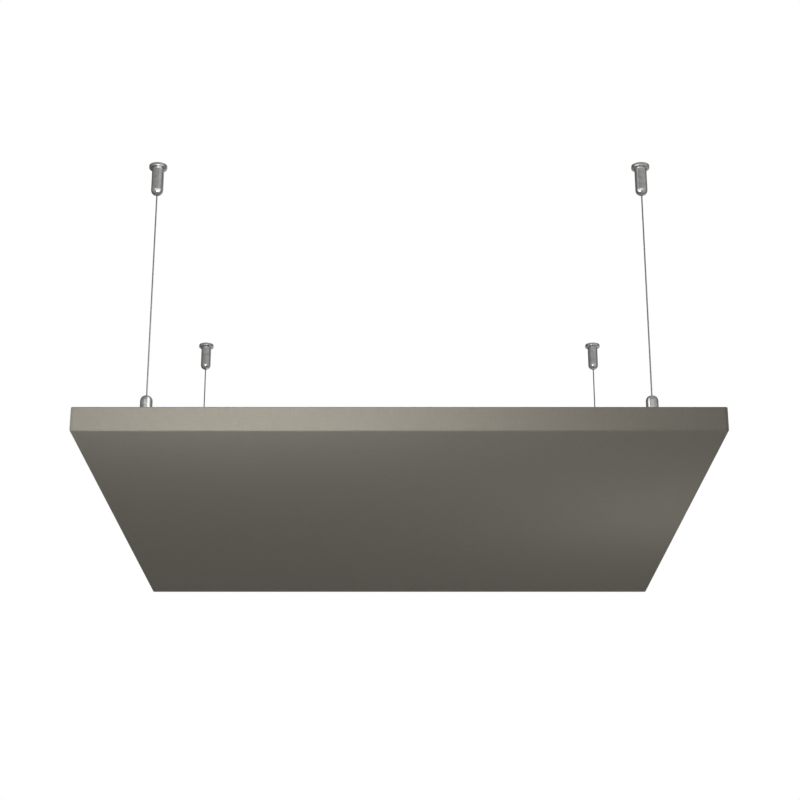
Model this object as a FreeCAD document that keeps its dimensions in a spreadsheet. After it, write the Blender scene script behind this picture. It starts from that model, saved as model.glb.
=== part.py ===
import FreeCAD, Part
import os
import re

import Sketcher
from FreeCAD import Placement, Rotation, Vector

# A square cloth-wrapped sound absorber that hangs level on four wires.
# The origin is on the ceiling plane, midway between the four ceiling fixings. All sizes are in mm.

SIZES = {
    # the whole
    "panel_side": 600.0,
    "panel_depth": 23.5,
    "overall_height": 300.0,
    "fixing_inset": 60.0,
    # cloth cover, wrapped round the frame and tucked into its groove
    "cloth_gauge": 0.8,
    "cloth_edge_radius": 1.5,
    "cloth_tuck": 4.0,
    # frame rails
    "rail_wall": 1.4,
    "groove_inset": 13.2,
    "groove_width": 2.4,
    "groove_depth": 5.0,
    # corner keys inside the rails
    "key_leg": 45.0,
    "key_height": 14.0,
    "key_clearance": 0.1,
    # cross bars, their tabs and tongues, and the tapped bosses under them
    "bar_width": 24.0,
    "bar_height": 8.0,
    "bar_gauge": 1.5,
    "tab_height": 15.0,
    "tongue_width": 14.0,
    "tongue_reach": 4.0,
    "slot_clearance": 0.2,
    "boss_width": 11.0,
    "boss_height": 10.0,
    # absorber core and back fleece
    "core_clearance": 0.2,
    "core_bar_gap": 0.4,
    "fleece_gap": 0.5,
    # domed fittings, the same at the ceiling and on the panel
    "flange_radius": 9.0,
    "flange_gauge": 4.0,
    "rim_height": 2.6,
    "neck_radius": 7.6,
    "spigot_radius": 4.0,
    "spigot_height": 5.0,
    "screw_hole_radius": 2.25,
    "stud_radius": 2.5,
    "stud_length": 10.0,
    "thread_clearance": 0.05,
    "cap_radius": 6.0,
    "fitting_length": 32.5,
    "dome_height": 4.2,
    "nose_radius": 4.7,
    "nose_height": 1.5,
    "mouth_radius": 1.5,
    # wires, and where they turn in the fittings
    "wire_radius": 0.75,
    "pivot_from_tip": 4.8,
    "wire_tail": 7.7,
    # swivel seats, each astride its pivot
    "seat_radius": 3.2,
    "seat_gauge": 1.2,
    "seat_bore": 1.0,
    "seat_gap": 0.3,
    # swaged stops in the ceiling caps, and clamps in the panel's
    "stop_radius": 2.4,
    "stop_length": 4.0,
    "clamp_radius": 2.6,
    "clamp_length": 5.0,
    "clamp_bore_gap": 0.03,
    "open_pivot_gap": 0.85,
}

doc = FreeCAD.newDocument("acoustic_panel")
sheet = doc.addObject("Spreadsheet::Sheet", "sizes")
for row, (alias, value) in enumerate(SIZES.items(), start=1):
    sheet.set(f"A{row}", alias)
    sheet.set(f"B{row}", str(value))
    sheet.setAlias(f"B{row}", alias)
doc.recompute()

CORNERS = {
    "front_left": (-1, -1),
    "front_right": (1, -1),
    "rear_left": (-1, 1),
    "rear_right": (1, 1),
}
SIDES = {"front": 0, "right": 90, "rear": 180, "left": 270}
nodes = {}


def bound(text):
    """The text with each size's name written as the sheet's own."""
    return re.sub(r"\b(?!sqrt\b)([a-z][a-z_]*[a-z])\b", r"sizes.\1", text)


def number(text):
    """What an expression in the sizes comes to, in mm."""
    return float(sheet.evalExpression(bound(text)))


def tie(obj, prop, text):
    """Binds one property of an object to an expression in the sizes."""
    obj.setExpression(prop, bound(text))


def keep(name, obj):
    """Marks an object as one of the part's nodes."""
    obj.Label = name
    nodes[name] = obj
    return obj


# Places that several pieces share, as expressions in the sizes.
BACK = "(panel_depth - overall_height)"
FRAME_TOP = f"({BACK} - cloth_gauge)"
FRAME_BASE = "(cloth_gauge - overall_height)"
FRAME_HALF = "(panel_side / 2 - cloth_gauge)"
INNER_HALF = f"({FRAME_HALF} - groove_inset - groove_width - rail_wall)"
FIXING_HALF = "(panel_side / 2 - fixing_inset)"
PIVOT = "(fitting_length - pivot_from_tip)"
SPIGOT_TOP = "(flange_gauge + spigot_height)"


def sketch_in(body, name, plane, loops):
    """A sketch of closed outlines, each corner a pair of expressions."""
    sketch = body.newObject("Sketcher::SketchObject", name)
    support = next(f for f in body.Origin.OriginFeatures if f.Role == plane)
    sketch.AttachmentSupport = (support, [""])
    sketch.MapMode = "FlatFace"
    for corners in loops:
        first = sketch.GeometryCount
        spots = [Vector(number(c[0]), number(c[1]), 0) for c in corners]
        for i in range(len(corners)):
            sketch.addGeometry(Part.LineSegment(spots[i], spots[(i + 1) % len(corners)]))
        for i, corner in enumerate(corners):
            at = first + i
            after = first + (i + 1) % len(corners)
            sketch.addConstraint(Sketcher.Constraint("Coincident", at, 2, after, 1))
            fix(sketch, at, 1, "DistanceX", corner[0])
            fix(sketch, at, 1, "DistanceY", corner[1])
    return sketch


def fix(sketch, element, point, kind, text):
    """Sets one distance of a sketch point from the origin."""
    if text == "0":
        axis = -2 if kind == "DistanceX" else -1
        sketch.addConstraint(Sketcher.Constraint("PointOnObject", element, point, axis))
        return
    index = sketch.addConstraint(
        Sketcher.Constraint(kind, -1, 1, element, point, number(text))
    )
    tie(sketch, f"Constraints[{index}]", text)


def turned(name, corners):
    """A body turned about its own Z axis from one closed outline of radius and height."""
    body = doc.addObject("PartDesign::Body", name)
    sketch = sketch_in(body, f"{name}_outline", "XZ_Plane", [corners])
    turn = body.newObject("PartDesign::Revolution", f"{name}_turn")
    turn.Profile = sketch
    turn.ReferenceAxis = (sketch, ["V_Axis"])
    turn.Angle = 360
    sketch.Visibility = False
    return body


def padded(name, plane, loops, length):
    """A body made by drawing closed outlines out to both sides of an origin plane."""
    body = doc.addObject("PartDesign::Body", name)
    sketch = sketch_in(body, f"{name}_outline", plane, loops)
    pad = body.newObject("PartDesign::Pad", f"{name}_pad")
    pad.Profile = sketch
    pad.Midplane = True
    tie(pad, "Length", length)
    return body


def block(name, low, high):
    """A box between two corners, each three expressions."""
    box = doc.addObject("Part::Box", name)
    for prop, axis, a, b in zip(("Length", "Width", "Height"), "xyz", low, high):
        tie(box, prop, f"({b}) - ({a})")
        tie(box, f"Placement.Base.{axis}", a)
    return box


def rod(name, radius, start, length, axis=Vector(0, 0, 1)):
    """A cylinder from a start point along an axis."""
    cylinder = doc.addObject("Part::Cylinder", name)
    cylinder.Placement = Placement(Vector(), Rotation(Vector(0, 0, 1), axis))
    tie(cylinder, "Radius", radius)
    tie(cylinder, "Height", length)
    for direction, text in zip("xyz", start):
        tie(cylinder, f"Placement.Base.{direction}", text)
    return cylinder


def joined(name, pieces):
    """Several solids made one."""
    fuse = doc.addObject("Part::MultiFuse", name)
    fuse.Shapes = pieces
    fuse.Refine = True
    return fuse


def less(name, base, tools):
    """A solid with others taken out of it."""
    cut = doc.addObject("Part::Cut", name)
    cut.Base = base
    cut.Tool = tools[0] if len(tools) == 1 else joined(f"{name}_tools", tools)
    return cut


def gathered(name, pieces):
    """Separate like solids that share one node."""
    group = doc.addObject("Part::Compound", name)
    group.Links = pieces
    return keep(name, group)


def at_corner(obj, corner, height, hanging=False):
    """Puts an object on one wire's line; a hanging one points down."""
    turn = Rotation(Vector(1, 0, 0), 180) if hanging else Rotation()
    obj.Placement = Placement(Vector(), turn)
    across, along = CORNERS[corner]
    tie(obj, "Placement.Base.x", f"{across} * {FIXING_HALF}")
    tie(obj, "Placement.Base.y", f"{along} * {FIXING_HALF}")
    tie(obj, "Placement.Base.z", height)
    return obj


def square(half):
    """The corners of a square about the origin."""
    return [(f"-{half}", f"-{half}"), (half, f"-{half}"), (half, half), (f"-{half}", half)]


# Ceiling bases: a round flange that narrows in a cone to the cap, with a screw hole and the threaded
# spigot that takes the cap. The screw's head ends up inside the cap.
rim = [
    ("flange_radius", "0"),
    ("flange_radius", "rim_height"),
    ("neck_radius", "flange_gauge"),
    ("spigot_radius", "flange_gauge"),
    ("spigot_radius", SPIGOT_TOP),
]
base_outline = [("screw_hole_radius", "0"), *rim, ("screw_hole_radius", SPIGOT_TOP)]
gathered(
    "ceiling_bases",
    [at_corner(turned(f"base_{c}", base_outline), c, "0", hanging=True) for c in CORNERS],
)

# Panel bases: the same flange and spigot, solid, with a stud down into the panel.
stud = [("0", "-stud_length"), ("stud_radius", "-stud_length"), ("stud_radius", "0")]
gathered(
    "panel_bases",
    [at_corner(turned(f"foot_{c}", [*stud, *rim, ("0", SPIGOT_TOP)]), c, BACK) for c in CORNERS],
)

# Caps: a barrel with a blunt domed nose, bored to screw on the spigot, with a flat floor that carries
# the swivel seat and a mouth wide enough for the wire to lean. Four hang from the ceiling, and four
# stand on the panel.
CAP_BORE = "(spigot_radius + thread_clearance)"
FLOOR = f"({PIVOT} + seat_gauge / 2 + seat_gap)"
cap_outline = [
    (CAP_BORE, "flange_gauge"),
    ("cap_radius", "flange_gauge"),
    ("cap_radius", "fitting_length - dome_height"),
    ("nose_radius", "fitting_length - nose_height"),
    ("mouth_radius", "fitting_length"),
    ("mouth_radius", FLOOR),
    (CAP_BORE, FLOOR),
]
gathered(
    "ceiling_caps",
    [at_corner(turned(f"cap_{c}", cap_outline), c, "0", hanging=True) for c in CORNERS],
)
gathered("panel_caps", [at_corner(turned(f"grip_{c}", cap_outline), c, BACK) for c in CORNERS])


def hexagon(name, radius, height):
    """A piece of hexagonal bar."""
    bar = doc.addObject("Part::Prism", name)
    tie(bar, "Circumradius", radius)
    tie(bar, "Height", height)
    return bar


def bored_hexagon(name, radius, foot, height, bore):
    """A bored piece of hexagonal bar at a height on its own axis."""
    bar = hexagon(f"{name}_bar", radius, height)
    tie(bar, "Placement.Base.z", foot)
    return less(name, bar, [rod(f"{name}_bore", bore, ("0", "0", foot), height)])


def seat(name):
    """A swivel seat: a hexagonal washer that rocks on the cap's floor."""
    return bored_hexagon(name, "seat_radius", f"{PIVOT} - seat_gauge / 2", "seat_gauge", "seat_bore")


# Swivel seats in the ceiling caps, and the swaged stops that hang each wire from its seat.
STOP_FACE = f"({PIVOT} - seat_gauge / 2 - seat_gap)"
for corner in CORNERS:
    keep(f"ceiling_seat_{corner}", at_corner(seat(f"upper_seat_{corner}"), corner, "0", hanging=True))
    stop = hexagon(f"stop_{corner}", "stop_radius", "stop_length")
    keep(f"wire_stop_{corner}", at_corner(stop, corner, f"stop_length - {STOP_FACE}", hanging=True))

# Wires: one straight cable at each corner, from its stop to a short tail below the clamp.
WIRE_END = f"({BACK} + {PIVOT} - wire_tail)"
for corner, (across, along) in CORNERS.items():
    lower_end = (f"{across} * {FIXING_HALF}", f"{along} * {FIXING_HALF}", WIRE_END)
    wire = rod(f"wire_{corner}", "wire_radius", lower_end, f"-{STOP_FACE} - {WIRE_END}")
    keep(f"wire_{corner}", wire)
    print(f"wire {corner}: {number(f'-{STOP_FACE} - {WIRE_END}'):.2f} mm long")


def clamp(name, bore):
    """A clamp of hexagonal bar that holds a wire under its seat."""
    return bored_hexagon(name, "clamp_radius", f"{STOP_FACE} - clamp_length", "clamp_length", bore)


# Panel seats and clamps. The front left pair swings with its wire. The clamps of the other three stand
# open, so that their wires can lean in them.
others = [corner for corner in CORNERS if corner != "front_left"]
keep("panel_seat_front_left", at_corner(seat("lower_seat_front_left"), "front_left", BACK))
first_clamp = clamp("clamp_front_left", "wire_radius + clamp_bore_gap")
keep("wire_clamp_front_left", at_corner(first_clamp, "front_left", BACK))
gathered("panel_seats", [at_corner(seat(f"lower_seat_{c}"), c, BACK) for c in others])
OPEN_BORE = "wire_radius + open_pivot_gap"
gathered("wire_clamps", [at_corner(clamp(f"clamp_{c}", OPEN_BORE), c, BACK) for c in others])

# Frame rails: a hollow aluminium section with a cloth groove in its back, mitred at both ends.
# Each is drawn as the front one and turned about the middle of the panel.
rail_section = [
    (f"-{FRAME_HALF}", FRAME_BASE),
    (f"-{INNER_HALF}", FRAME_BASE),
    (f"-{INNER_HALF}", FRAME_TOP),
    (f"rail_wall * -1 - {INNER_HALF}", FRAME_TOP),
    (f"rail_wall * -1 - {INNER_HALF}", f"{FRAME_TOP} - groove_depth"),
    (f"groove_inset - {FRAME_HALF}", f"{FRAME_TOP} - groove_depth"),
    (f"groove_inset - {FRAME_HALF}", FRAME_TOP),
    (f"-{FRAME_HALF}", FRAME_TOP),
]
CHAMBER_OUTER = f"(rail_wall - {FRAME_HALF})"
CHAMBER_INNER = f"(groove_inset - rail_wall - {FRAME_HALF})"
CHAMBER_TOP = f"({FRAME_TOP} - rail_wall)"
CHAMBER_BASE = f"({FRAME_BASE} + rail_wall)"
rail_chamber = [
    (CHAMBER_OUTER, CHAMBER_BASE),
    (f"rail_wall * -1 - {INNER_HALF}", CHAMBER_BASE),
    (f"rail_wall * -1 - {INNER_HALF}", f"{CHAMBER_TOP} - groove_depth"),
    (CHAMBER_INNER, f"{CHAMBER_TOP} - groove_depth"),
    (CHAMBER_INNER, CHAMBER_TOP),
    (CHAMBER_OUTER, CHAMBER_TOP),
]
OUTSIDE = "(panel_side / 2)"


def mitre(across):
    """The triangle cut away at one end of the front rail."""
    return [
        (f"{across} * {FRAME_HALF}", f"-{FRAME_HALF}"),
        (f"{across} * {INNER_HALF}", f"-{INNER_HALF}"),
        (f"{across} * {OUTSIDE}", f"-{INNER_HALF}"),
        (f"{across} * {OUTSIDE}", f"-{FRAME_HALF}"),
    ]


rails = {}
for side, angle in SIDES.items():
    name = f"rail_{side}"
    rail = padded(name, "YZ_Plane", [rail_section, rail_chamber], f"2 * {FRAME_HALF}")
    ends = sketch_in(rail, f"{name}_ends", "XY_Plane", [mitre(1), mitre(-1)])
    cut = rail.newObject("PartDesign::Pocket", f"{name}_mitres")
    cut.Profile = ends
    cut.Midplane = True
    cut.Type = "ThroughAll"
    rail.Placement = Placement(Vector(), Rotation(Vector(0, 0, 1), angle))
    rails[side] = rail

for side in ("left", "right"):
    keep(f"frame_rail_{side}", rails[side])

# Corner keys: an L of flat bar pushed into the chambers of the two rails that meet at each corner.
KEY_OUTER = f"({FRAME_HALF} - rail_wall - key_clearance)"
KEY_INNER = f"({FRAME_HALF} - groove_inset + rail_wall + key_clearance)"
KEY_END = f"({KEY_OUTER} - key_leg)"
key_plan = [
    (KEY_OUTER, KEY_OUTER),
    (KEY_END, KEY_OUTER),
    (KEY_END, KEY_INNER),
    (KEY_INNER, KEY_INNER),
    (KEY_INNER, KEY_END),
    (KEY_OUTER, KEY_END),
]
keys = []
for side, angle in SIDES.items():
    key = padded(f"key_{side}", "XY_Plane", [key_plan], "key_height")
    key.Placement = Placement(Vector(), Rotation(Vector(0, 0, 1), angle))
    tie(key, "Placement.Base.z", f"{CHAMBER_BASE} + key_clearance + key_height / 2")
    keys.append(key)
gathered("corner_keys", keys)

# Cloth cover: one cloth over the face and edges, returned over the frame's back and tucked into the
# groove against its outer wall.
LEG_HALF = f"({FRAME_HALF} - groove_inset)"
WINDOW_HALF = f"({LEG_HALF} - cloth_gauge)"
LEG_FOOT = f"({FRAME_TOP} - cloth_tuck)"


def slab(name, half, low, high):
    """A square block about the middle of the panel."""
    return block(name, (f"-{half}", f"-{half}", low), (half, half, high))


wrap = padded("cloth_wrap", "XY_Plane", [square("(panel_side / 2)")], "panel_depth")
tie(wrap, "Placement.Base.z", f"{BACK} - panel_depth / 2")
doc.recompute()
wrap_edges = wrap.newObject("PartDesign::Fillet", "cloth_edges")
level_edges = [
    f"Edge{i}"
    for i, edge in enumerate(wrap.Shape.Edges, start=1)
    if edge.BoundBox.ZLength < number("cloth_gauge")
]
wrap_edges.Base = (wrap.Group[1], level_edges)
tie(wrap_edges, "Radius", "cloth_edge_radius")
shell = less(
    "cloth_shell",
    wrap,
    [
        slab("cloth_inside", FRAME_HALF, FRAME_BASE, FRAME_TOP),
        slab("cloth_window", WINDOW_HALF, FRAME_TOP, BACK),
    ],
)
tuck = less(
    "cloth_tuck_ring",
    slab("cloth_tuck_outer", LEG_HALF, LEG_FOOT, FRAME_TOP),
    [slab("cloth_tuck_inner", WINDOW_HALF, LEG_FOOT, FRAME_TOP)],
)
keep("fabric_cover", joined("fabric_cover", [shell, tuck]))

# Retaining splines: four strips pressed into the groove beside the tucked cloth.
SPLINE_INNER = f"({LEG_HALF} - groove_width)"
spline_plan = [
    (f"-{WINDOW_HALF}", f"-{WINDOW_HALF}"),
    (SPLINE_INNER, f"-{WINDOW_HALF}"),
    (SPLINE_INNER, f"-{SPLINE_INNER}"),
    (f"-{WINDOW_HALF}", f"-{SPLINE_INNER}"),
]
for side, angle in SIDES.items():
    name = f"retaining_spline_{side}"
    spline = keep(name, padded(name, "XY_Plane", [spline_plan], "cloth_tuck"))
    spline.Placement = Placement(Vector(), Rotation(Vector(0, 0, 1), angle))
    tie(spline, "Placement.Base.z", f"{FRAME_TOP} - cloth_tuck / 2")

# Cross bars: a channel from front to rear under each pair of fittings, with a tapped boss for each
# stud, and at each end a tab whose tongue enters a slot in the rail's inner wall.
ACROSS = {"left": -1, "right": 1}
ALONG = {"front": -1, "rear": 1}
TONGUE_FOOT = f"({FRAME_TOP} - tab_height)"


def bar_block(name, across, half, along, height):
    """A box astride a cross bar's middle line, between two places along it and two heights."""
    middle = f"({across} * {FIXING_HALF})"
    low, high = zip(along, height)
    return block(name, (f"{middle} - ({half})", *low), (f"{middle} + ({half})", *high))


def span(along, near, far):
    """Two distances from the panel's middle, towards its front or its rear."""
    return (f"-{far}", f"-{near}") if along < 0 else (near, far)


def boss_block(name, across, along, half, height):
    """A square box round a stud's line."""
    near, far = f"({FIXING_HALF} - ({half}))", f"({FIXING_HALF} + ({half}))"
    return bar_block(name, across, half, span(along, near, far), height)


def stud_hole(name, across, along):
    """The tapped hole for one stud."""
    place = (f"{across} * {FIXING_HALF}", f"{along} * {FIXING_HALF}")
    return rod(name, "stud_radius + thread_clearance", (*place, f"{FRAME_TOP} - boss_height"), "boss_height")


LENGTHWISE = (f"-{INNER_HALF}", INNER_HALF)
for side, across in ACROSS.items():
    name = f"cross_bar_{side}"
    outside = bar_block(
        f"{name}_outside", across, "bar_width / 2", LENGTHWISE, (f"{FRAME_TOP} - bar_height", FRAME_TOP)
    )
    hollow = bar_block(
        f"{name}_hollow",
        across,
        "bar_width / 2 - bar_gauge",
        LENGTHWISE,
        (f"{FRAME_TOP} - bar_height", f"{FRAME_TOP} - bar_gauge"),
    )
    pieces = [less(f"{name}_channel", outside, [hollow])]
    for end, along in ALONG.items():
        tab_depth = span(along, f"({INNER_HALF} - bar_gauge)", INNER_HALF)
        tongue_depth = span(along, f"({INNER_HALF} - bar_gauge)", f"({INNER_HALF} + tongue_reach)")
        pieces += [
            bar_block(f"{name}_tab_{end}", across, "bar_width / 2", tab_depth, (TONGUE_FOOT, FRAME_TOP)),
            bar_block(
                f"{name}_tongue_{end}",
                across,
                "tongue_width / 2",
                tongue_depth,
                (TONGUE_FOOT, f"{TONGUE_FOOT} + bar_gauge"),
            ),
            boss_block(
                f"{name}_boss_{end}", across, along, "boss_width / 2", (f"{FRAME_TOP} - boss_height", FRAME_TOP)
            ),
        ]
    stud_holes = [stud_hole(f"{name}_hole_{end}", across, along) for end, along in ALONG.items()]
    keep(name, less(f"{name}_drilled", joined(f"{name}_bent", pieces), stud_holes))

for end, along in ALONG.items():
    slots = [
        bar_block(
            f"rail_slot_{end}_{side}",
            across,
            "tongue_width / 2 + slot_clearance",
            span(along, INNER_HALF, f"({INNER_HALF} + rail_wall)"),
            (f"{TONGUE_FOOT} - slot_clearance", f"{TONGUE_FOOT} + bar_gauge + slot_clearance"),
        )
        for side, across in ACROSS.items()
    ]
    keep(f"frame_rail_{end}", less(f"slotted_rail_{end}", rails[end], slots))

# Absorber core: one mineral-fibre slab that fills the frame, cut out for the bars, tabs and bosses.
cuts = []
for side, across in ACROSS.items():
    cuts.append(
        bar_block(
            f"core_bar_{side}",
            across,
            "bar_width / 2 + core_bar_gap",
            LENGTHWISE,
            (f"{FRAME_TOP} - bar_height - core_bar_gap", FRAME_TOP),
        )
    )
    for end, along in ALONG.items():
        cuts += [
            bar_block(
                f"core_tab_{end}_{side}",
                across,
                "bar_width / 2 + core_bar_gap",
                span(along, f"({INNER_HALF} - bar_gauge - core_bar_gap)", INNER_HALF),
                (f"{TONGUE_FOOT} - core_bar_gap", FRAME_TOP),
            ),
            boss_block(
                f"core_boss_{end}_{side}",
                across,
                along,
                "boss_width / 2 + core_bar_gap",
                (f"{FRAME_TOP} - boss_height - core_bar_gap", FRAME_TOP),
            ),
        ]
core = slab("core_slab", f"({INNER_HALF} - core_clearance)", FRAME_BASE, FRAME_TOP)
keep("absorber_core", less("core_cut", core, cuts))

# Back fleece: a sheet over the core, bars and splines, level with the cloth, with a small square
# hole for each stud. The panel bases stand on it.
stud_cuts = [
    boss_block(f"fleece_hole_{end}_{side}", across, along, "stud_radius + fleece_gap", (FRAME_TOP, BACK))
    for side, across in ACROSS.items()
    for end, along in ALONG.items()
]
fleece = slab("fleece_sheet", f"({WINDOW_HALF} - fleece_gap)", FRAME_TOP, BACK)
keep("back_fleece", less("fleece_cut", fleece, stud_cuts))

doc.recompute()
failed = [o.Name for o in doc.Objects if "Invalid" in o.State or "Error" in o.State]
if failed:
    raise SystemExit(f"not built: {failed}")
for name, obj in nodes.items():
    if obj.Shape.isNull() or not obj.Shape.isValid() or not obj.Shape.Solids:
        raise SystemExit(f"no sound solid: {name}")
os.makedirs("parts", exist_ok=True)
for name, obj in nodes.items():
    obj.Shape.exportStep(f"parts/{name}.step")
    print(f"{name}: {len(obj.Shape.Solids)} solids, {obj.Shape.Volume:.1f} cubic mm")
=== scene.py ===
import math

import bmesh
import bpy
from mathutils import Matrix, Vector


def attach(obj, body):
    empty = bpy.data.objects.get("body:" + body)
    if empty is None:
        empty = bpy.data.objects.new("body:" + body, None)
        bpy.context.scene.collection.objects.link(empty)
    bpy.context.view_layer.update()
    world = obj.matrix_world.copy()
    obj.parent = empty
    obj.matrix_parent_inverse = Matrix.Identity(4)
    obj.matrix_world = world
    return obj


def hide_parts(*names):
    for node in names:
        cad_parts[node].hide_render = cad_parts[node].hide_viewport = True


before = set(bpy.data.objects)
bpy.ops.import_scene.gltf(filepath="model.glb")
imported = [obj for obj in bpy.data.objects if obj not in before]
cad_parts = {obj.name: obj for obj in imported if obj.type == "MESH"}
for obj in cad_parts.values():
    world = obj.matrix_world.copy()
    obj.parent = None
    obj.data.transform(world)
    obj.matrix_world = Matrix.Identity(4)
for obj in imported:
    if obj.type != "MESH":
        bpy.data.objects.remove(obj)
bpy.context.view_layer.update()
scene = bpy.context.scene
scene.view_settings.view_transform = "Standard"

# Where the photograph was taken: below the panel and in front of it, looking up by 20 degrees
# through a long lens, so the underside and the front edge both show. Lengths are in metres, those
# of the lens and its film in millimetres, and the ceiling is at height 0.
CAMERA_PLACE = (0.0007, -1.8619, -0.8413)
LOOKING_UP = 20.085
LENS = 81.85
FILM_WIDTH = 36
camera_data = bpy.data.cameras.new("camera")
camera_data.sensor_width = FILM_WIDTH
camera_data.lens = LENS
camera = bpy.data.objects.new("camera", camera_data)
camera.location = CAMERA_PLACE
camera.rotation_euler = (math.radians(90 + LOOKING_UP), 0, 0)
scene.collection.objects.link(camera)
scene.camera = camera

# Wires: four cables of bright steel, one at each corner, with six strands laid round a core. Each
# is swaged into a stop in the ceiling cap, held by a clamp in the panel's cap, and pulled straight
# by the panel's weight.
CORNERS = {
    "front_left": (-0.24, -0.24),
    "front_right": (0.24, -0.24),
    "rear_left": (-0.24, 0.24),
    "rear_right": (0.24, 0.24),
}
CABLE_DIAMETER = 0.0015
CABLE_TOP = -0.0268
CABLE_END = -0.2565
CABLE_MIDDLE = (CABLE_TOP + CABLE_END) / 2
STRANDS = 6
STRAND_RADIUS = CABLE_DIAMETER / 6
STRAND_SIDES = 7
LAY_LENGTH = 0.0115
STEPS_IN_A_TURN = 14
SMEARS_IN_A_METRE = 900.0


def linear(code):
    """A colour written as sRGB hex, turned linear."""
    parts = [int(code[i : i + 2], 16) / 255 for i in (1, 3, 5)]
    return tuple(c / 12.92 if c <= 0.04045 else ((c + 0.055) / 1.055) ** 2.4 for c in parts) + (1,)


def add(tree, kind, links=None, **settings):
    """A shader node with its settings. A socket takes a value, or the output of another node."""
    made = tree.nodes.new(kind)
    for name, value in settings.items():
        setattr(made, name, value)
    for socket, value in (links or {}).items():
        if isinstance(value, bpy.types.NodeSocket):
            tree.links.new(value, made.inputs[socket])
        else:
            made.inputs[socket].default_value = value
    return made


def finish_for(name):
    """A new material, its node tree and its Principled shader."""
    material = bpy.data.materials.new(name)
    material.use_nodes = True
    return material, material.node_tree, material.node_tree.nodes["Principled BSDF"]


def put_up(shape, name, material):
    """Turns a finished bmesh into an object in the scene."""
    mesh = bpy.data.meshes.new(name)
    shape.to_mesh(mesh)
    shape.free()
    mesh.materials.append(material)
    made = bpy.data.objects.new(name, mesh)
    scene.collection.objects.link(made)
    return made


def settle(shape, name, material, body):
    """Turns a finished bmesh into a smooth piece of the object that rides on a CAD body."""
    piece = put_up(shape, name, material)
    piece.data.shade_smooth()
    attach(piece, body)
    return piece


# Drawn stainless strand: bright along each wire's crown and greyer where the strands meet.
cable_steel, tree, shader = finish_for("stranded_steel")
place = add(tree, "ShaderNodeTexCoord").outputs["Object"]
smear = add(
    tree, "ShaderNodeTexNoise", {"Vector": place, "Scale": SMEARS_IN_A_METRE, "Detail": 2.0}
)
rough = add(
    tree, "ShaderNodeMapRange", {"Value": smear.outputs["Fac"], "To Min": 0.3, "To Max": 0.5}
)
tree.links.new(rough.outputs["Result"], shader.inputs["Roughness"])
shader.inputs["Base Color"].default_value = linear("#A9A9AA")
shader.inputs["Metallic"].default_value = 1.0

strand = bmesh.new()
bmesh.ops.create_circle(
    strand,
    cap_ends=True,
    segments=STRAND_SIDES,
    radius=STRAND_RADIUS,
    matrix=Matrix.Translation((2 * STRAND_RADIUS, 0, CABLE_TOP)),
)
turns = (CABLE_TOP - CABLE_END) / LAY_LENGTH
steps = round(turns * STEPS_IN_A_TURN)
bmesh.ops.spin(
    strand,
    geom=strand.faces[:],
    cent=(0, 0, CABLE_TOP),
    axis=(0, 0, 1),
    dvec=(0, 0, (CABLE_END - CABLE_TOP) / steps),
    angle=turns * math.tau,
    steps=steps,
)
bmesh.ops.recalc_face_normals(strand, faces=strand.faces)
one_strand = bpy.data.meshes.new("strand")
strand.to_mesh(one_strand)
strand.free()
rope = bmesh.new()
for number in range(STRANDS):
    rope.from_mesh(one_strand)
    laid = rope.verts[number * len(one_strand.vertices) :]
    bmesh.ops.rotate(rope, verts=laid, matrix=Matrix.Rotation(number * math.tau / STRANDS, 3, "Z"))
bpy.data.meshes.remove(one_strand)
bmesh.ops.create_cone(
    rope,
    cap_ends=True,
    segments=STRAND_SIDES,
    radius1=STRAND_RADIUS,
    radius2=STRAND_RADIUS,
    depth=CABLE_TOP - CABLE_END,
    matrix=Matrix.Translation((0, 0, CABLE_MIDDLE)),
)

for corner, (x, y) in CORNERS.items():
    route_data = bpy.data.curves.new("route", "CURVE")
    route_data.dimensions = "3D"
    spline = route_data.splines.new("NURBS")
    spline.points.add(2)
    for point, z in zip(spline.points, (CABLE_TOP, CABLE_MIDDLE, CABLE_END)):
        point.co = (x, y, z, 1)
    spline.order_u = 3
    spline.use_endpoint_u = True
    route = bpy.data.objects.new("route", route_data)
    line = [v.co.copy() for v in bpy.data.meshes.new_from_object(route).vertices]
    bpy.data.curves.remove(route_data)
    cable = rope.copy()
    bmesh.ops.translate(cable, verts=cable.verts, vec=(x, y, 0))
    piece = settle(cable, f"cable_{corner}", cable_steel, f"wire_{corner}")
    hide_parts(f"wire_{corner}")
rope.free()

# Bases: turned brass, nickel plated, a round foot that slopes in to the cap, and a spigot for the
# cap to screw on. Four are screwed to the ceiling. Four stand on the panel's back, each with a stud
# into a cross bar.
PANEL_BACK = -0.2765
FOOT_RADIUS = 0.009
FOOT_RIM = 0.0032
FOOT_HEIGHT = 0.004
NECK_RADIUS = 0.0072
SPIGOT_RADIUS = 0.004
SPIGOT_TOP = 0.009
SCREW_HOLE = 0.00225
STUD_RADIUS = 0.0025
STUD_LENGTH = 0.01
FACES_ROUND = 96
FACES_IN_A_ROUNDING = 5
MERGED_WITHIN = 1e-7
SAME_PLACE = 1e-6
PATCHES_IN_A_METRE = 240.0
WAVES_IN_A_METRE = 330.0


def round_off(shape, edges, width, faces):
    """Rounds edges of a shape over a width, with so many faces across."""
    bmesh.ops.bevel(
        shape, geom=edges, offset=width, segments=faces, profile=0.5, affect="EDGES", material=-1
    )


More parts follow.
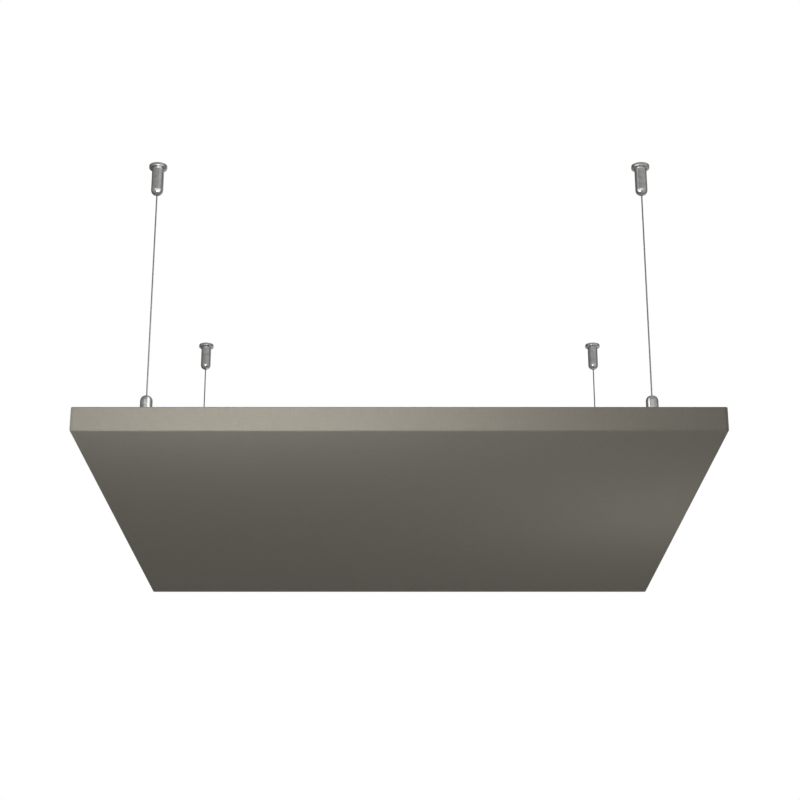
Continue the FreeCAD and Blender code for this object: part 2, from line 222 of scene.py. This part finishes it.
def turned(profile, roundings):
    """A solid turned about the Z axis from a closed profile of radii and heights. Each rounding is
    a radius and height of the profile, and how far the edge there is rounded."""
    shape = bmesh.new()
    points = [shape.verts.new((radius, 0, height)) for radius, height in profile]
    for here, there in zip(points, points[1:] + points[:1]):
        shape.edges.new((here, there))
    bmesh.ops.spin(
        shape,
        geom=shape.verts[:] + shape.edges[:],
        cent=(0, 0, 0),
        axis=(0, 0, 1),
        angle=math.tau,
        steps=FACES_ROUND,
        use_merge=True,
    )
    bmesh.ops.remove_doubles(shape, verts=shape.verts, dist=MERGED_WITHIN)
    bmesh.ops.recalc_face_normals(shape, faces=shape.faces)
    for radius, height, width in roundings:
        on_the_rim = {
            v
            for v in shape.verts
            if abs(v.co.z - height) < SAME_PLACE and abs(v.co.xy.length - radius) < SAME_PLACE
        }
        rim = [e for e in shape.edges if on_the_rim.issuperset(e.verts)]
        round_off(shape, rim, width, FACES_IN_A_ROUNDING)
    return shape


def even_shading(piece):
    """Keeps flat faces flat beside their rounded edges."""
    piece.modifiers.new("even_shading", "WEIGHTED_NORMAL")


def at_all_corners(shape, name, face, pointing, material, body):
    """One piece made of four copies of a shape, each standing on a face and pointing up or down."""
    if pointing < 0:
        bmesh.ops.rotate(shape, verts=shape.verts, matrix=Matrix.Rotation(math.pi, 3, "X"))
    one = bpy.data.meshes.new("one")
    shape.to_mesh(one)
    shape.free()
    whole = bmesh.new()
    for number, corner in enumerate(CORNERS.values()):
        whole.from_mesh(one)
        copied = whole.verts[number * len(one.vertices) :]
        bmesh.ops.translate(whole, verts=copied, vec=(*corner, face))
    bpy.data.meshes.remove(one)
    piece = settle(whole, name, material, body)
    even_shading(piece)
    return piece


# Bright nickel plate over turned brass: a grey mirror, a little uneven where it was polished by
# hand, with duller, slightly tarnished patches from fingers.
nickel, tree, shader = finish_for("polished_nickel")
place = add(tree, "ShaderNodeTexCoord").outputs["Object"]
patches = add(
    tree, "ShaderNodeTexNoise", {"Vector": place, "Scale": PATCHES_IN_A_METRE, "Detail": 3.0}
)
dullness = add(
    tree, "ShaderNodeMapRange", {"Value": patches.outputs["Fac"], "To Min": 0.1, "To Max": 0.2}
)
waviness = add(
    tree, "ShaderNodeTexNoise", {"Vector": place, "Scale": WAVES_IN_A_METRE, "Detail": 1.0}
)
relief = add(
    tree,
    "ShaderNodeBump",
    {"Height": waviness.outputs["Fac"], "Strength": 0.25, "Distance": 0.0003},
)
tarnished = add(
    tree,
    "ShaderNodeMapRange",
    {"Value": patches.outputs["Fac"], "From Min": 0.35, "From Max": 0.65, "To Min": 0, "To Max": 1},
)
plate = add(
    tree,
    "ShaderNodeMix",
    {"Factor": tarnished.outputs["Result"], "A": linear("#EAEAE9"), "B": linear("#CFCFCD")},
    data_type="RGBA",
)
tree.links.new(dullness.outputs["Result"], shader.inputs["Roughness"])
tree.links.new(relief.outputs["Normal"], shader.inputs["Normal"])
tree.links.new(plate.outputs["Result"], shader.inputs["Base Color"])
shader.inputs["Metallic"].default_value = 1.0

foot_outline = [
    (FOOT_RADIUS, 0),
    (FOOT_RADIUS, FOOT_RIM),
    (NECK_RADIUS, FOOT_HEIGHT),
    (SPIGOT_RADIUS, FOOT_HEIGHT),
    (SPIGOT_RADIUS, SPIGOT_TOP),
]
foot_roundings = [
    (FOOT_RADIUS, 0, 0.0004),
    (FOOT_RADIUS, FOOT_RIM, 0.0007),
    (SPIGOT_RADIUS, SPIGOT_TOP, 0.0003),
]
foot = turned([(SCREW_HOLE, 0), *foot_outline, (SCREW_HOLE, SPIGOT_TOP)], foot_roundings)
bases = at_all_corners(foot, "ceiling_feet", 0, -1, nickel, "ceiling_fittings")
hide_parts("ceiling_bases")

stud_outline = [(0, -STUD_LENGTH), (STUD_RADIUS, -STUD_LENGTH), (STUD_RADIUS, 0)]
stud_rounding = (STUD_RADIUS, -STUD_LENGTH, 0.0005)
foot = turned([*stud_outline, *foot_outline, (0, SPIGOT_TOP)], [*foot_roundings, stud_rounding])
bases = at_all_corners(foot, "panel_feet", PANEL_BACK, 1, nickel, "panel")
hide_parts("panel_bases")

# Caps: nickel-plated barrels with a blunt domed nose, bored to screw on the bases' spigots. They
# flare a little where they meet the base, and a mouth in the dome lets the wire lean. The flare's
# hollow and the break in the dome's curve are each a radius and a height.
CAP_RADIUS = 0.006
CAP_BORE = 0.00405
CAP_LENGTH = 0.0325
CAP_FLOOR = 0.0286
FLARE_RADIUS = 0.0069
FLARE_HOLLOW = (0.0062, 0.0043)
FLARE_END = 0.0058
DOME_START = 0.0283
DOME_BREAK = (0.0047, 0.031)
LIP_RADIUS = 0.0018
MOUTH_RADIUS = 0.00145
cap_outline = [
    (CAP_BORE, FOOT_HEIGHT),
    (FLARE_RADIUS, FOOT_HEIGHT),
    FLARE_HOLLOW,
    (CAP_RADIUS, FLARE_END),
    (CAP_RADIUS, DOME_START),
    DOME_BREAK,
    (LIP_RADIUS, CAP_LENGTH),
    (MOUTH_RADIUS, CAP_LENGTH),
    (MOUTH_RADIUS, CAP_FLOOR),
    (CAP_BORE, CAP_FLOOR),
]
cap_roundings = [
    (*FLARE_HOLLOW, 0.0003),
    (CAP_RADIUS, DOME_START, 0.0014),
    (*DOME_BREAK, 0.0014),
    (LIP_RADIUS, CAP_LENGTH, 0.00015),
]
for name, face, pointing, body in (
    ("ceiling", 0, -1, "ceiling_fittings"),
    ("panel", PANEL_BACK, 1, "panel"),
):
    cap = turned(cap_outline, cap_roundings)
    caps = at_all_corners(cap, f"{name}_domes", face, pointing, nickel, body)
    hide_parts(f"{name}_caps")

# Swivel seats, swaged stops and clamps: small pieces of hexagonal steel bar inside the caps. They
# only show through the caps' mouths, so they keep the CAD shapes.
SAW_MARKS_IN_A_METRE = 1500.0

# Cold-drawn bar, sawn to length: a plain grey steel, duller where the saw went.
bar_steel, tree, shader = finish_for("bright_bar_steel")
place = add(tree, "ShaderNodeTexCoord").outputs["Object"]
sawn = add(
    tree, "ShaderNodeTexNoise", {"Vector": place, "Scale": SAW_MARKS_IN_A_METRE, "Detail": 2.0}
)
rough = add(
    tree, "ShaderNodeMapRange", {"Value": sawn.outputs["Fac"], "To Min": 0.28, "To Max": 0.48}
)
tree.links.new(rough.outputs["Result"], shader.inputs["Roughness"])
shader.inputs["Base Color"].default_value = linear("#9FA0A2")
shader.inputs["Metallic"].default_value = 1.0


def refinish(material, *starts):
    """Gives the CAD nodes whose names start so their own material."""
    for name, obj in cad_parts.items():
        if name.startswith(starts):
            obj.data.materials.clear()
            obj.data.materials.append(material)


refinish(bar_steel, "ceiling_seat", "panel_seat", "wire_stop", "wire_clamp")

# Cloth cover: one square of woven wool blend, drawn over the panel's face and edges, returned over
# the frame's back and tucked into a groove. The spare cloth at each corner is folded under, so two
# folds show on the front and the rear face beside each corner, and a mitre on the back.
SIDE = 0.6
UNDERSIDE = -0.3
THICKNESS = PANEL_BACK - UNDERSIDE
CLOTH_GAUGE = 0.0008
CLOTH_EDGE = 0.0014
RETURN_WIDTH = 0.0148
RETURN_FLAT = RETURN_WIDTH - CLOTH_EDGE
TUCK_DEPTH = 0.004
MITRE_HALF = 0.0006
MITRE_DEPTH = 0.0006
SAME_SLOPE = 1e-5
STRAIGHT_ON = 0.95
THREAD = 0.0008
SLUB_LENGTH = 0.012
FUZZ_IN_A_METRE = 2200.0

# How far each fold is from the corner, half its width, and its depth.
FOLDS = ((0.0018, 0.00035, 0.0007), (0.0034, 0.0003, 0.0002))

# Plain woven wool blend, olive grey: matt, with a faint bloom at low angles, a thread each way
# every 0.8 mm, slubs along the threads and a slight heather.
cloth, tree, shader = finish_for("olive_grey_woven_wool")
cut_place = add(tree, "ShaderNodeUVMap", uv_map="cut").outputs["UV"]
apart = add(tree, "ShaderNodeSeparateXYZ", {"Vector": cut_place})
threads = []
slubs = []
for axis, along in (
    ("X", (1 / THREAD, 1 / SLUB_LENGTH, 1)),
    ("Y", (1 / SLUB_LENGTH, 1 / THREAD, 1)),
):
    turn = add(
        tree,
        "ShaderNodeMath",
        {0: apart.outputs[axis], 1: math.tau / THREAD},
        operation="MULTIPLY",
    ).outputs[0]
    threads.append(add(tree, "ShaderNodeMath", {0: turn}, operation="SINE").outputs[0])
    drawn_out = add(
        tree, "ShaderNodeMapping", {"Vector": cut_place, "Scale": along}
    ).outputs["Vector"]
    slub = add(tree, "ShaderNodeTexNoise", {"Vector": drawn_out, "Scale": 1.0, "Detail": 1.0})
    slubs.append(slub.outputs["Fac"])
crossing = add(
    tree, "ShaderNodeMath", {0: threads[0], 1: threads[1]}, operation="MULTIPLY"
).outputs[0]
fuzz = add(
    tree, "ShaderNodeTexNoise", {"Vector": cut_place, "Scale": FUZZ_IN_A_METRE, "Detail": 3.0}
).outputs["Fac"]
nap = add(tree, "ShaderNodeMath", {0: crossing, 1: fuzz}, operation="ADD").outputs[0]
relief = add(tree, "ShaderNodeBump", {"Height": nap, "Strength": 0.4, "Distance": 0.00012})
both = add(tree, "ShaderNodeMath", {0: slubs[0], 1: slubs[1]}, operation="ADD").outputs[0]
shade = add(
    tree,
    "ShaderNodeMapRange",
    {"Value": both, "From Min": 0.7, "From Max": 1.3, "To Min": 0, "To Max": 1},
)
heather = add(
    tree,
    "ShaderNodeMix",
    {"Factor": shade.outputs["Result"], "A": linear("#979287"), "B": linear("#9D988D")},
    data_type="RGBA",
)
tree.links.new(heather.outputs["Result"], shader.inputs["Base Color"])
tree.links.new(relief.outputs["Normal"], shader.inputs["Normal"])
shader.inputs["Roughness"].default_value = 0.92
shader.inputs["Specular IOR Level"].default_value = 0.15
shader.inputs["Sheen Weight"].default_value = 0.1
shader.inputs["Sheen Roughness"].default_value = 0.5


def give_gauge(piece, gauge):
    """Gives a sheet its thickness, inwards from its outer face."""
    thickness = piece.modifiers.new("thickness", "SOLIDIFY")
    thickness.thickness = gauge
    thickness.offset = -1
    even_shading(piece)


wrap = bmesh.new()
bmesh.ops.create_cube(wrap, size=1)
bmesh.ops.scale(wrap, verts=wrap.verts, vec=(SIDE, SIDE, THICKNESS))
bmesh.ops.translate(wrap, verts=wrap.verts, vec=(0, 0, (PANEL_BACK + UNDERSIDE) / 2))
round_off(wrap, wrap.edges[:], CLOTH_EDGE, 6)

# The folds are cut into the front and the rear face, each as three lines, and the last cut, the
# middle line, sinks.
for facing in (-1, 1):
    for hand in (-1, 1):
        for from_corner, half_width, depth in FOLDS:
            for shift in (-half_width, half_width, 0):
                side = [f for f in wrap.faces if f.normal.y * facing > STRAIGHT_ON]
                edges = {e for f in side for e in f.edges}
                verts = {v for f in side for v in f.verts}
                split = bmesh.ops.bisect_plane(
                    wrap,
                    geom=[*side, *edges, *verts],
                    plane_co=(hand * (SIDE / 2 - from_corner) + shift, 0, 0),
                    plane_no=(1, 0, 0),
                )
            crease = [g for g in split["geom_cut"] if isinstance(g, bmesh.types.BMVert)]
            bmesh.ops.translate(wrap, verts=crease, vec=(0, -facing * depth, 0))

# The back is opened inside the cloth's return, whose inner edge goes down into the groove.
window = max(wrap.faces, key=lambda f: (f.calc_center_median().z, f.calc_area()))
bmesh.ops.inset_region(wrap, faces=[window], thickness=RETURN_FLAT, use_even_offset=True)
mitres = []
for edge in wrap.edges:
    start, end = (v.co for v in edge.verts)
    level = abs(start.z - end.z) < SAME_PLACE
    slanting = abs(abs(start.x - end.x) - abs(start.y - end.y)) < SAME_SLOPE
    if level and slanting and edge.calc_length() > RETURN_FLAT:
        mitres.append(edge)
bmesh.ops.delete(wrap, geom=[window], context="FACES_ONLY")
tuck = bmesh.ops.extrude_edge_only(wrap, edges=[e for e in wrap.edges if e.is_boundary])
lowered = [g for g in tuck["geom"] if isinstance(g, bmesh.types.BMVert)]
bmesh.ops.translate(wrap, verts=lowered, vec=(0, 0, -TUCK_DEPTH))
round_off(wrap, mitres, MITRE_HALF, 2)
mitre_middles = [
    v
    for v in wrap.verts
    if abs(v.co.z - PANEL_BACK) < SAME_PLACE
    and abs(abs(v.co.x) - abs(v.co.y)) < SAME_PLACE
    and abs(v.co.x) <= SIDE / 2 - CLOTH_EDGE
]
bmesh.ops.translate(wrap, verts=mitre_middles, vec=(0, 0, -MITRE_DEPTH))
bmesh.ops.recalc_face_normals(wrap, faces=wrap.faces)
cut = wrap.loops.layers.uv.new("cut")
for face in wrap.faces:
    flat_axis = max(range(3), key=lambda i: abs(face.normal[i]))
    across, along = [i for i in range(3) if i != flat_axis]
    for loop in face.loops:
        loop[cut].uv = (loop.vert.co[across], loop.vert.co[along])
cover = settle(wrap, "cloth_cover", cloth, "panel")
give_gauge(cover, CLOTH_GAUGE)
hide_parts("fabric_cover")

# Back fleece: thin grey spunbond, bonded in small dots, that closes the panel's back over the core
# and the cross bars. The splines hold its edge, and the four feet stand on it over holes for their
# studs.
FLEECE_HALF = 0.2847
FLEECE_GAUGE = 0.0006
STUD_OPENING = 0.003
BOND_PITCH = 0.0016
FIBRES_IN_A_METRE = 1800.0

# Spunbond polypropylene, dark grey: matt fibres pressed flat in dots 1.6 mm apart.
spunbond, tree, shader = finish_for("grey_spunbond")
place = add(tree, "ShaderNodeTexCoord").outputs["Object"]
pressed = add(
    tree, "ShaderNodeTexVoronoi", {"Vector": place, "Scale": 1 / BOND_PITCH, "Randomness": 0.25}
).outputs["Distance"]
dots = add(
    tree, "ShaderNodeMapRange", {"Value": pressed, "From Min": 0.15, "From Max": 0.4}
).outputs["Result"]
fibres = add(
    tree, "ShaderNodeTexNoise", {"Vector": place, "Scale": FIBRES_IN_A_METRE, "Detail": 4.0}
).outputs["Fac"]
nap = add(tree, "ShaderNodeMath", {0: dots, 1: fibres}, operation="ADD").outputs[0]
relief = add(tree, "ShaderNodeBump", {"Height": nap, "Strength": 0.5, "Distance": 0.0002})
tone = add(
    tree,
    "ShaderNodeMix",
    {"Factor": dots, "A": linear("#70706E"), "B": linear("#80807D")},
    data_type="RGBA",
)
tree.links.new(tone.outputs["Result"], shader.inputs["Base Color"])
tree.links.new(relief.outputs["Normal"], shader.inputs["Normal"])
shader.inputs["Roughness"].default_value = 0.85
shader.inputs["Specular IOR Level"].default_value = 0.25

fleece = bmesh.new()
bmesh.ops.create_grid(
    fleece,
    x_segments=1,
    y_segments=1,
    size=FLEECE_HALF,
    matrix=Matrix.Translation((0, 0, PANEL_BACK)),
)
for axis in ((1, 0, 0), (0, 1, 0)):
    for hand in (-1, 1):
        for edge in (-STUD_OPENING, STUD_OPENING):
            from_middle = hand * CORNERS["rear_right"][0] + edge
            bmesh.ops.bisect_plane(
                fleece,
                geom=fleece.verts[:] + fleece.edges[:] + fleece.faces[:],
                plane_co=[from_middle * part for part in axis],
                plane_no=axis,
            )

# Of the faces between the cuts, only the four square openings are this small.
openings = [f for f in fleece.faces if f.calc_area() < (2.1 * STUD_OPENING) ** 2]
bmesh.ops.delete(fleece, geom=openings, context="FACES")
piece = settle(fleece, "back_fleece_sheet", spunbond, "panel")
give_gauge(piece, FLEECE_GAUGE)
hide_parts("back_fleece")

# Frame: extruded aluminium rails, cast keys, galvanised cross bars, plastic splines and the fibre
# core, all closed in by the cloth and the fleece. Mill aluminium is a soft silver, zinc a duller
# blue grey, the moulded plastic nearly black, and the fibre board straw-coloured and quite matt.
GRAINS_IN_A_METRE = 700.0
for name, code, metallic, roughness, starts in (
    ("mill_aluminium", "#C6C7C9", 1.0, 0.42, ("frame_rail", "corner_keys")),
    ("galvanised_steel", "#A7ABAD", 1.0, 0.5, ("cross_bar",)),
    ("black_polypropylene", "#1F1F20", 0.0, 0.55, ("retaining_spline",)),
    ("fibre_board", "#D9CC9A", 0.0, 0.97, ("absorber_core",)),
):
    inner, tree, shader = finish_for(name)
    place = add(tree, "ShaderNodeTexCoord").outputs["Object"]
    grain = add(
        tree, "ShaderNodeTexNoise", {"Vector": place, "Scale": GRAINS_IN_A_METRE, "Detail": 4.0}
    ).outputs["Fac"]
    relief = add(tree, "ShaderNodeBump", {"Height": grain, "Strength": 0.2, "Distance": 0.0001})
    tree.links.new(relief.outputs["Normal"], shader.inputs["Normal"])
    shader.inputs["Base Color"].default_value = linear(code)
    shader.inputs["Metallic"].default_value = metallic
    shader.inputs["Roughness"].default_value = roughness
    refinish(inner, *starts)

# Studio: a pale matt floor well below the panel and a white surround. The camera sees both nearly
# white, and the metal doesn't see the floor. A faint light comes evenly from all sides.
FLOOR_HEIGHT = -1.7
FLOOR_HALF = 6
FLOOR_GLOW = 0.75
EVEN_LIGHT = 0.225
floor_paint, tree, shader = finish_for("pale_floor")
ray = add(tree, "ShaderNodeLightPath").outputs
glow = add(tree, "ShaderNodeMath", {0: ray["Is Camera Ray"], 1: FLOOR_GLOW}, operation="MULTIPLY")
tree.links.new(glow.outputs[0], shader.inputs["Emission Strength"])
shader.inputs["Emission Color"].default_value = linear("#FFFFFF")
shader.inputs["Base Color"].default_value = linear("#E4E3E0")
shader.inputs["Roughness"].default_value = 0.9
shader.inputs["Specular IOR Level"].default_value = 0.0
plane = bmesh.new()
bmesh.ops.create_grid(
    plane,
    x_segments=1,
    y_segments=1,
    size=FLOOR_HALF,
    matrix=Matrix.Translation((0, 0, FLOOR_HEIGHT)),
)
floor = put_up(plane, "floor", floor_paint)
floor.visible_glossy = False

world = bpy.data.worlds.new("surround")
world.use_nodes = True
scene.world = world
tree = world.node_tree
tree.nodes.clear()
ray = add(tree, "ShaderNodeLightPath").outputs
seen = add(
    tree, "ShaderNodeMath", {0: ray["Is Camera Ray"], 1: ray["Is Glossy Ray"]}, operation="ADD"
).outputs[0]
seen = add(
    tree,
    "ShaderNodeMath",
    {0: seen, 1: ray["Is Transmission Ray"]},
    operation="ADD",
    use_clamp=True,
).outputs[0]
even = add(tree, "ShaderNodeBackground", {"Color": linear("#FFFFFF"), "Strength": EVEN_LIGHT})
white = add(tree, "ShaderNodeBackground", {"Color": linear("#FFFFFF"), "Strength": 1.0})
mixed = add(tree, "ShaderNodeMixShader", {0: seen, 1: even.outputs[0], 2: white.outputs[0]})
add(tree, "ShaderNodeOutputWorld", {"Surface": mixed.outputs[0]})

# Lamps: a small soft one close to the front edge's left half, a weak one under the right, and a
# pair high behind for the other sides, which the metal doesn't show. Each line gives a lamp's
# place, the point it is aimed at, its width, spread in degrees and watts, and if metal shows it.
for name, stand, aim, width, spread, watts, shown in (
    ("front_lamp", (-0.147, -0.6, -0.363), (-0.13, -0.3, -0.29), 0.35, 180, 1.31, True),
    ("low_lamp", (0.289, -0.033, -0.53), (0.289, -0.033, -0.3), 0.1, 180, 0.097, True),
    ("rear_left_lamp", (-0.95, 2.0, 1.7), (0, 0, -0.28), 0.8, 35, 2.3, False),
    ("rear_right_lamp", (0.95, 2.0, 1.7), (0, 0, -0.28), 0.8, 35, 2.3, False),
):
    lamp_data = bpy.data.lights.new(name, "AREA")
    lamp_data.shape = "SQUARE"
    lamp_data.size = width
    lamp_data.spread = math.radians(spread)
    lamp_data.energy = watts
    lamp = bpy.data.objects.new(name, lamp_data)
    lamp.location = stand
    lamp.rotation_euler = (Vector(aim) - lamp.location).to_track_quat("-Z", "Y").to_euler()
    lamp.visible_camera = False
    lamp.visible_glossy = shown
    scene.collection.objects.link(lamp)

# Grey cloth hung round, over and under the studio, and an upright tube lamp before the front edge.
# Only the metal sees them. The cloth is darkest behind on the left, and has a white opening in
# front at about the panel's height. The tube is bright at its foot and dim at its top.
WALL_RADIUS = 2.5
WALL_FOOT = -1.69
WALL_TOP = 3.5
WALL_SIDES = 64

# The opening whitens between these two heights at its foot, and between these at its top.
OPENING_FOOT = (-1.2, -0.6)
OPENING_TOP = (0.8, 0.3)

# Greys of the cloth and whiteness of the opening, by how far round the wall they are: 0 is the
# left, a quarter the front, a half the right. The two ends come first in each list.
CLOTH_GREYS = (
    (0.0, 0.21),
    (1.0, 0.21),
    (0.05, 0.27),
    (0.14, 0.28),
    (0.21, 0.33),
    (0.3, 0.35),
    (0.42, 0.39),
    (0.488, 0.33),
    (0.513, 0.17),
    (0.575, 0.17),
    (0.62, 0.34),
    (0.67, 0.38),
    (0.69, 0.65),
    (0.72, 0.65),
    (0.74, 0.4),
    (0.79, 0.3),
    (0.84, 0.11),
    (0.94, 0.11),
    (0.975, 0.18),
)
OPENING_WHITES = (
    (0.0, 0.0),
    (0.46, 0.0),
    (0.12, 0.0),
    (0.16, 0.9),
    (0.25, 0.9),
    (0.3, 0.65),
    (0.35, 0.3),
    (0.42, 0.15),
)


def round_the_wall(tree, place, shares):
    """Greys that change round the upright axis, from how far round each one is."""
    turn = add(tree, "ShaderNodeTexGradient", {"Vector": place}, gradient_type="RADIAL")
    ramp = add(tree, "ShaderNodeValToRGB", {"Fac": turn.outputs["Fac"]})
    stops = ramp.color_ramp.elements
    for number, (share, grey) in enumerate(shares):
        stop = stops[number] if number < 2 else stops.new(share)
        stop.position = share
        stop.color = (grey, grey, grey, 1)
    return ramp.outputs["Color"]


grey_cloth, tree, shader = finish_for("grey_studio_cloth")
tree.nodes.remove(shader)
place = add(tree, "ShaderNodeTexCoord").outputs["Object"]
greys = round_the_wall(tree, place, CLOTH_GREYS)
whiteness = round_the_wall(tree, place, OPENING_WHITES)
height = add(tree, "ShaderNodeSeparateXYZ", {"Vector": place}).outputs["Z"]
for grey_end, white_end in (OPENING_FOOT, OPENING_TOP):
    opened = add(
        tree,
        "ShaderNodeMapRange",
        {"Value": height, "From Min": grey_end, "From Max": white_end, "To Min": 0, "To Max": 1},
    ).outputs["Result"]
    whiteness = add(
        tree, "ShaderNodeMath", {0: opened, 1: whiteness}, operation="MULTIPLY"
    ).outputs[0]
tones = add(
    tree,
    "ShaderNodeMix",
    {"Factor": whiteness, "A": greys, "B": linear("#FFFFFF")},
    data_type="RGBA",
)
glow = add(tree, "ShaderNodeEmission", {"Color": tones.outputs["Result"], "Strength": 1.0})
tree.links.new(glow.outputs[0], tree.nodes["Material Output"].inputs["Surface"])
drum = bmesh.new()
bmesh.ops.create_cone(
    drum,
    cap_ends=True,
    segments=WALL_SIDES,
    radius1=WALL_RADIUS,
    radius2=WALL_RADIUS,
    depth=WALL_TOP - WALL_FOOT,
    matrix=Matrix.Translation((0, 0, (WALL_TOP + WALL_FOOT) / 2)),
)

TUBE_PLACE = (-0.085, -0.38)
TUBE_RADIUS = 0.075
TUBE_SIDES = 48
TUBE_FOOT = -0.28
TUBE_TOP = 0.24
BRIGHT_UP_TO = -0.06
DIM_FROM = 0.03
BRIGHT = 1.5
DIM = 0.45
tube_glass, tree, shader = finish_for("tube_lamp_glass")
tree.nodes.remove(shader)
place = add(tree, "ShaderNodeTexCoord").outputs["Object"]
height = add(tree, "ShaderNodeSeparateXYZ", {"Vector": place}).outputs["Z"]
strength = add(
    tree,
    "ShaderNodeMapRange",
    {
        "Value": height,
        "From Min": BRIGHT_UP_TO,
        "From Max": DIM_FROM,
        "To Min": BRIGHT,
        "To Max": DIM,
    },
).outputs["Result"]
glow = add(tree, "ShaderNodeEmission", {"Color": linear("#FFFFFF"), "Strength": strength})
tree.links.new(glow.outputs[0], tree.nodes["Material Output"].inputs["Surface"])
tube = bmesh.new()
bmesh.ops.create_cone(
    tube,
    cap_ends=True,
    segments=TUBE_SIDES,
    radius1=TUBE_RADIUS,
    radius2=TUBE_RADIUS,
    depth=TUBE_TOP - TUBE_FOOT,
    matrix=Matrix.Translation((*TUBE_PLACE, (TUBE_FOOT + TUBE_TOP) / 2)),
)
for name, shape, material in (("studio_cloth", drum, grey_cloth), ("tube_lamp", tube, tube_glass)):
    unseen = put_up(shape, name, material)
    unseen.visible_camera = False
    unseen.visible_diffuse = False
    unseen.visible_shadow = False
    unseen.visible_transmission = False
